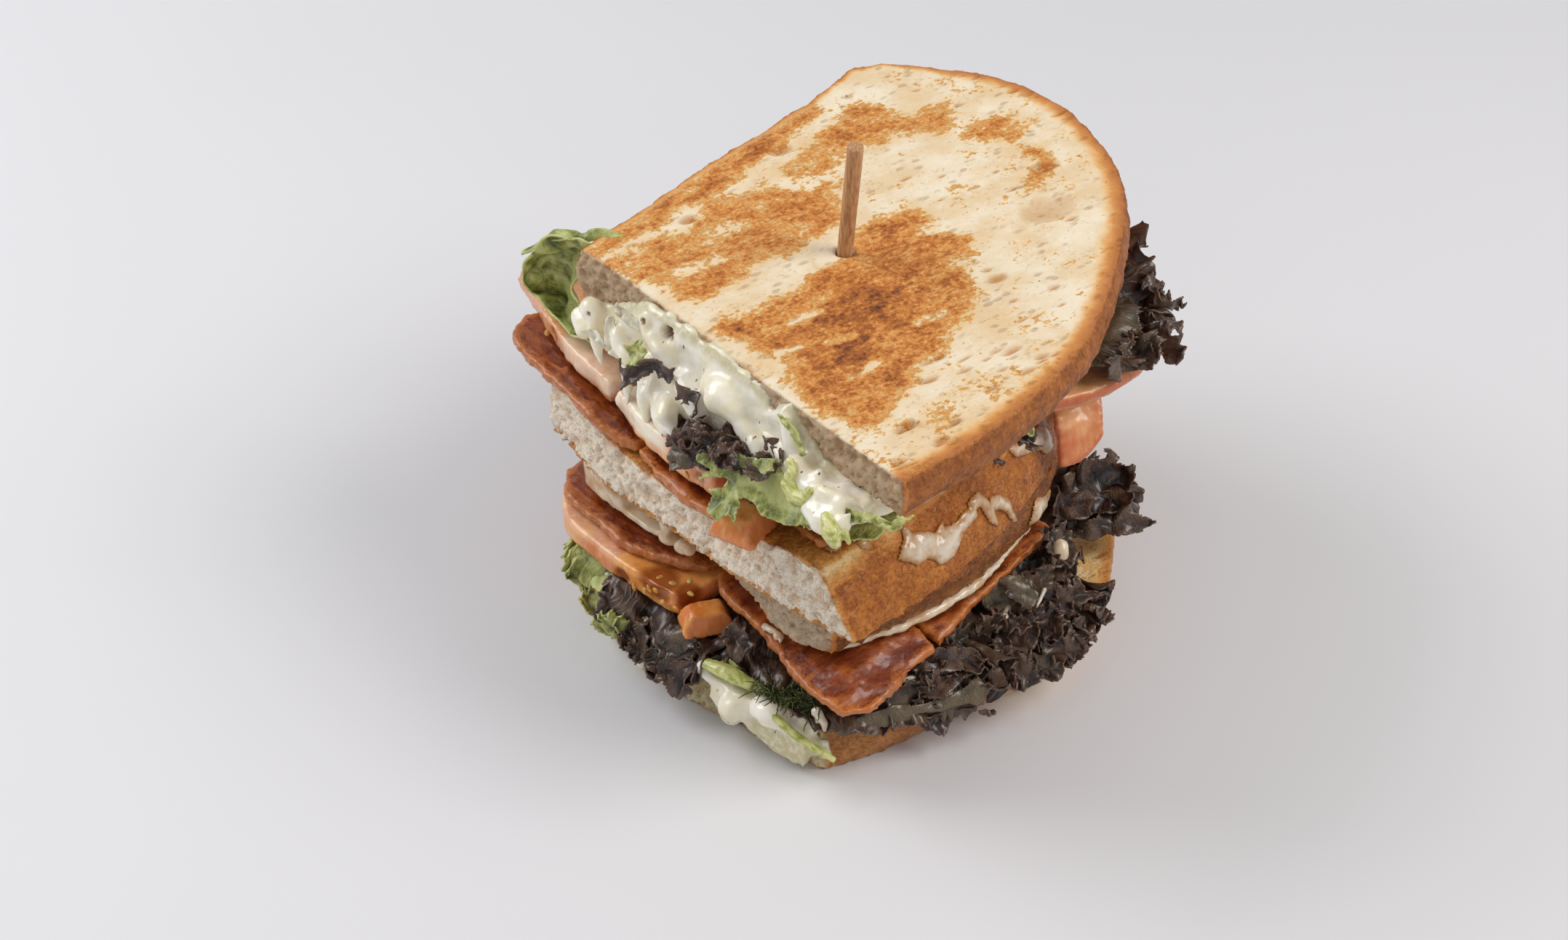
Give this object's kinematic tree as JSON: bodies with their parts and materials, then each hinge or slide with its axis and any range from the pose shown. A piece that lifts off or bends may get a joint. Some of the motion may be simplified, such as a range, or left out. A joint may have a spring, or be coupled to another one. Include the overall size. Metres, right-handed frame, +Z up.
{
  "type": "blt sandwich",
  "caption": "Toasted bacon, lettuce and tomato sandwich cut in half, its halves stacked cut side forward and pinned with a wooden pick.",
  "frame": {"origin": "on the table, under the middle of the bottom slice's flat underside", "axes": "+X to the right along the cut face, +Y from the cut face back to the crusts, +Z up"},
  "size_m": [0.1357, 0.1431, 0.1172],
  "materials": {
    "toasted_bread": "matte",
    "dressing": "glossy",
    "tomato": "moist",
    "bacon": "greasy",
    "green_leaf": "satin",
    "red_leaf": "satin",
    "stem": "moist",
    "pick_wood": "bare"
  },
  "bodies": {
    "root": {"upper_top_bread": "toasted_bread", "upper_bottom_bread": "toasted_bread", "lower_top_bread": "toasted_bread", "lower_bottom_bread": "toasted_bread", "upper_dressing": "dressing", "lower_dressing": "dressing", "lower_sauce": "dressing", "lower_dressing_drips": "dressing", "upper_tomato_left": "tomato", "upper_tomato_middle": "tomato", "upper_tomato_side": "tomato", "upper_tomato_right": "tomato", "upper_tomato_back": "tomato", "upper_tomato_bent": "tomato", "upper_tomato_chunk": "tomato", "lower_tomato": "tomato", "lower_tomato_back": "tomato", "lower_tomato_chunk": "tomato", "upper_bacon_left": "bacon", "upper_bacon_middle": "bacon", "upper_bacon_right": "bacon", "lower_bacon_left": "bacon", "lower_bacon_front": "bacon", "lower_bacon_right": "bacon", "upper_green_leaf": "green_leaf", "upper_frilly_leaf": "green_leaf", "lower_green_leaf": "green_leaf", "upper_red_leaf": "red_leaf", "upper_red_leaf_right": "red_leaf", "lower_red_leaf": "red_leaf", "lower_red_leaf_front": "red_leaf", "lower_red_leaf_middle": "red_leaf", "lower_red_leaf_upper": "red_leaf", "lower_red_leaf_fan": "red_leaf", "upper_lettuce": "red_leaf", "lower_lettuce": "red_leaf", "lower_stem": "stem", "lower_stem_long": "stem", "pick": "pick_wood"}
  },
  "joints": []
}
